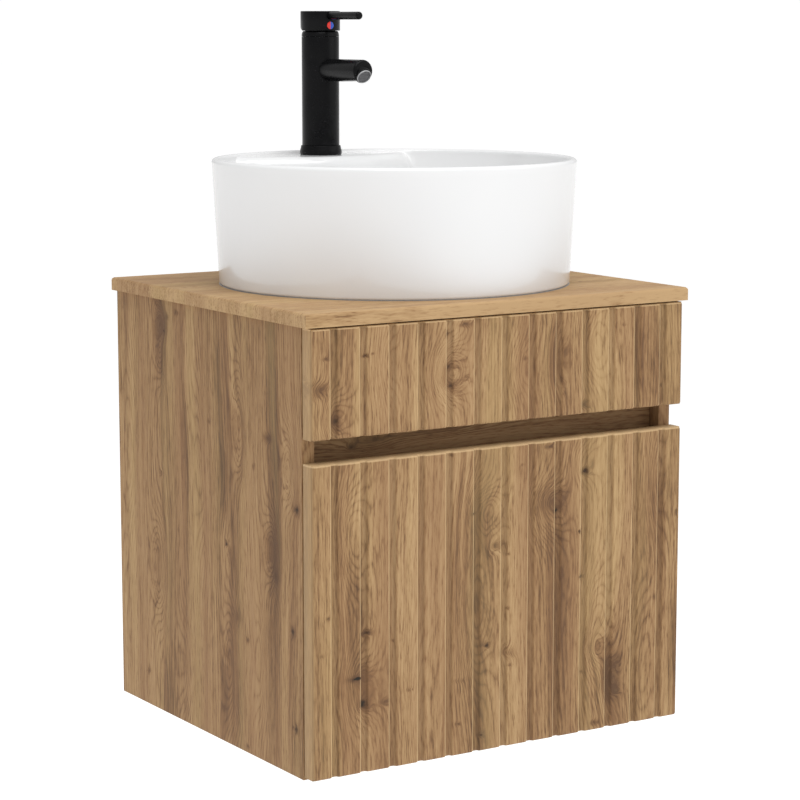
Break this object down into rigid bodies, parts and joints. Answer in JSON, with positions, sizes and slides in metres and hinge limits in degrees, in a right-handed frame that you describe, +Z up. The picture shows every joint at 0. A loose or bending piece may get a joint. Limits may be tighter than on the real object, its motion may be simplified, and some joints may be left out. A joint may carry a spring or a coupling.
{
  "type": "bathroom vanity cabinet",
  "caption": "Wall-hung vanity: cabinet with a grooved drawer front and a fixed front, countertop, round countertop basin and a tall single-lever mixer tap.",
  "frame": {"origin": "middle of the footprint, at the bottom of the side panels", "axes": "+X to the right as seen from the front, +Y to the wall, +Z up; the drawer opens along -Y"},
  "size_m": [0.5, 0.45, 0.8085],
  "materials": {
    "oak_laminate": "oak-look laminate, matt, vertical grain",
    "dowel_beech": "raw beech",
    "zinc_steel": "zinc plated",
    "slide_steel": "rolled sheet",
    "bumper_rubber": "clear soft pad",
    "basin_ceramic": "gloss white glaze",
    "sealant_rubber": "sanitary sealant",
    "waste_chrome": "polished chrome",
    "washer_rubber": "black rubber",
    "tap_black": "matt black coating",
    "aerator_plastic": "light grey",
    "cartridge_plastic": "off-white",
    "stem_brass": "machined",
    "red_plastic": "gloss red",
    "blue_plastic": "gloss blue"
  },
  "bodies": {
    "cabinet": {"left_side_panel": "oak_laminate", "right_side_panel": "oak_laminate", "bottom_panel": "oak_laminate", "back_top_rail": "oak_laminate", "back_bottom_rail": "oak_laminate", "front_top_rail": "oak_laminate", "grip_rail": "oak_laminate", "countertop": "oak_laminate", "upper_front": "oak_laminate", "carcass_dowels": "dowel_beech", "cam_bolts": "zinc_steel", "cam_locks": "zinc_steel", "countertop_brackets": "zinc_steel", "bracket_screws": "zinc_steel", "wall_hangers": "zinc_steel", "hanger_screws": "zinc_steel", "upper_front_screws": "zinc_steel", "slide_cabinet_screws": "zinc_steel", "slide_outer_left": "slide_steel", "slide_outer_right": "slide_steel", "front_bumpers": "bumper_rubber", "basin": "basin_ceramic", "basin_sealant": "sealant_rubber", "waste_flange": "waste_chrome", "waste_tail": "waste_chrome", "waste_nut": "waste_chrome", "waste_washer": "washer_rubber", "tap_base_ring": "tap_black", "tap_body": "tap_black", "tap_spout": "tap_black", "tap_neck_ring": "tap_black", "aerator_housing": "aerator_plastic", "aerator_insert": "aerator_plastic", "cartridge": "cartridge_plastic", "tap_shank": "stem_brass", "tap_gasket": "washer_rubber", "tap_nut": "stem_brass"},
    "drawer": {"drawer_front": "oak_laminate", "drawer_inner_front": "oak_laminate", "drawer_left_side": "oak_laminate", "drawer_right_side": "oak_laminate", "drawer_back": "oak_laminate", "drawer_bottom": "oak_laminate", "drawer_front_screws": "zinc_steel", "drawer_screws": "zinc_steel", "slide_inner_left": "slide_steel", "slide_inner_right": "slide_steel", "slide_drawer_screws": "zinc_steel"},
    "middle_rail_left": {"slide_middle_left": "slide_steel"},
    "middle_rail_right": {"slide_middle_right": "slide_steel"},
    "outer_cages": {"ball_cages_outer": "slide_steel"},
    "inner_cages": {"ball_cages_inner": "slide_steel"},
    "waste_plug": {"waste_plug": "waste_chrome"},
    "stem": {"cartridge_stem": "stem_brass"},
    "handle": {"tap_handle": "tap_black", "tap_lever": "tap_black", "indicator_red": "red_plastic", "indicator_blue": "blue_plastic", "handle_pin": "zinc_steel"}
  },
  "joints": [
    {"name": "drawer_slide", "type": "slide", "parent": "cabinet", "child": "drawer", "axis": [0, -1, 0], "range_m": [0, 0.3]},
    {"name": "middle_left_slide", "type": "slide", "parent": "cabinet", "child": "middle_rail_left", "axis": [0, -1, 0], "range_m": [0, 0.15]},
    {"name": "middle_right_slide", "type": "slide", "parent": "cabinet", "child": "middle_rail_right", "axis": [0, -1, 0], "range_m": [0, 0.15]},
    {"name": "outer_cages_slide", "type": "slide", "parent": "cabinet", "child": "outer_cages", "axis": [0, -1, 0], "range_m": [0, 0.075]},
    {"name": "inner_cages_slide", "type": "slide", "parent": "cabinet", "child": "inner_cages", "axis": [0, -1, 0], "range_m": [0, 0.225]},
    {"name": "plug_slide", "type": "slide", "parent": "cabinet", "child": "waste_plug", "axis": [0, 0, 1], "range_m": [0, 0.006]},
    {"name": "handle_turn", "type": "hinge", "parent": "cabinet", "child": "stem", "pos_m": [0, 0.164, 0.79], "axis": [0, 0, 1], "range_deg": [-45, 45]},
    {"name": "handle_lift", "type": "hinge", "parent": "stem", "child": "handle", "pos_m": [0, 0.164, 0.796], "axis": [-1, 0, 0], "range_deg": [0, 20]}
  ],
  "couplings": [
    {"joint": "middle_left_slide", "follows": "drawer_slide", "ratio": 0.5},
    {"joint": "middle_right_slide", "follows": "drawer_slide", "ratio": 0.5},
    {"joint": "outer_cages_slide", "follows": "drawer_slide", "ratio": 0.25},
    {"joint": "inner_cages_slide", "follows": "drawer_slide", "ratio": 0.75}
  ]
}
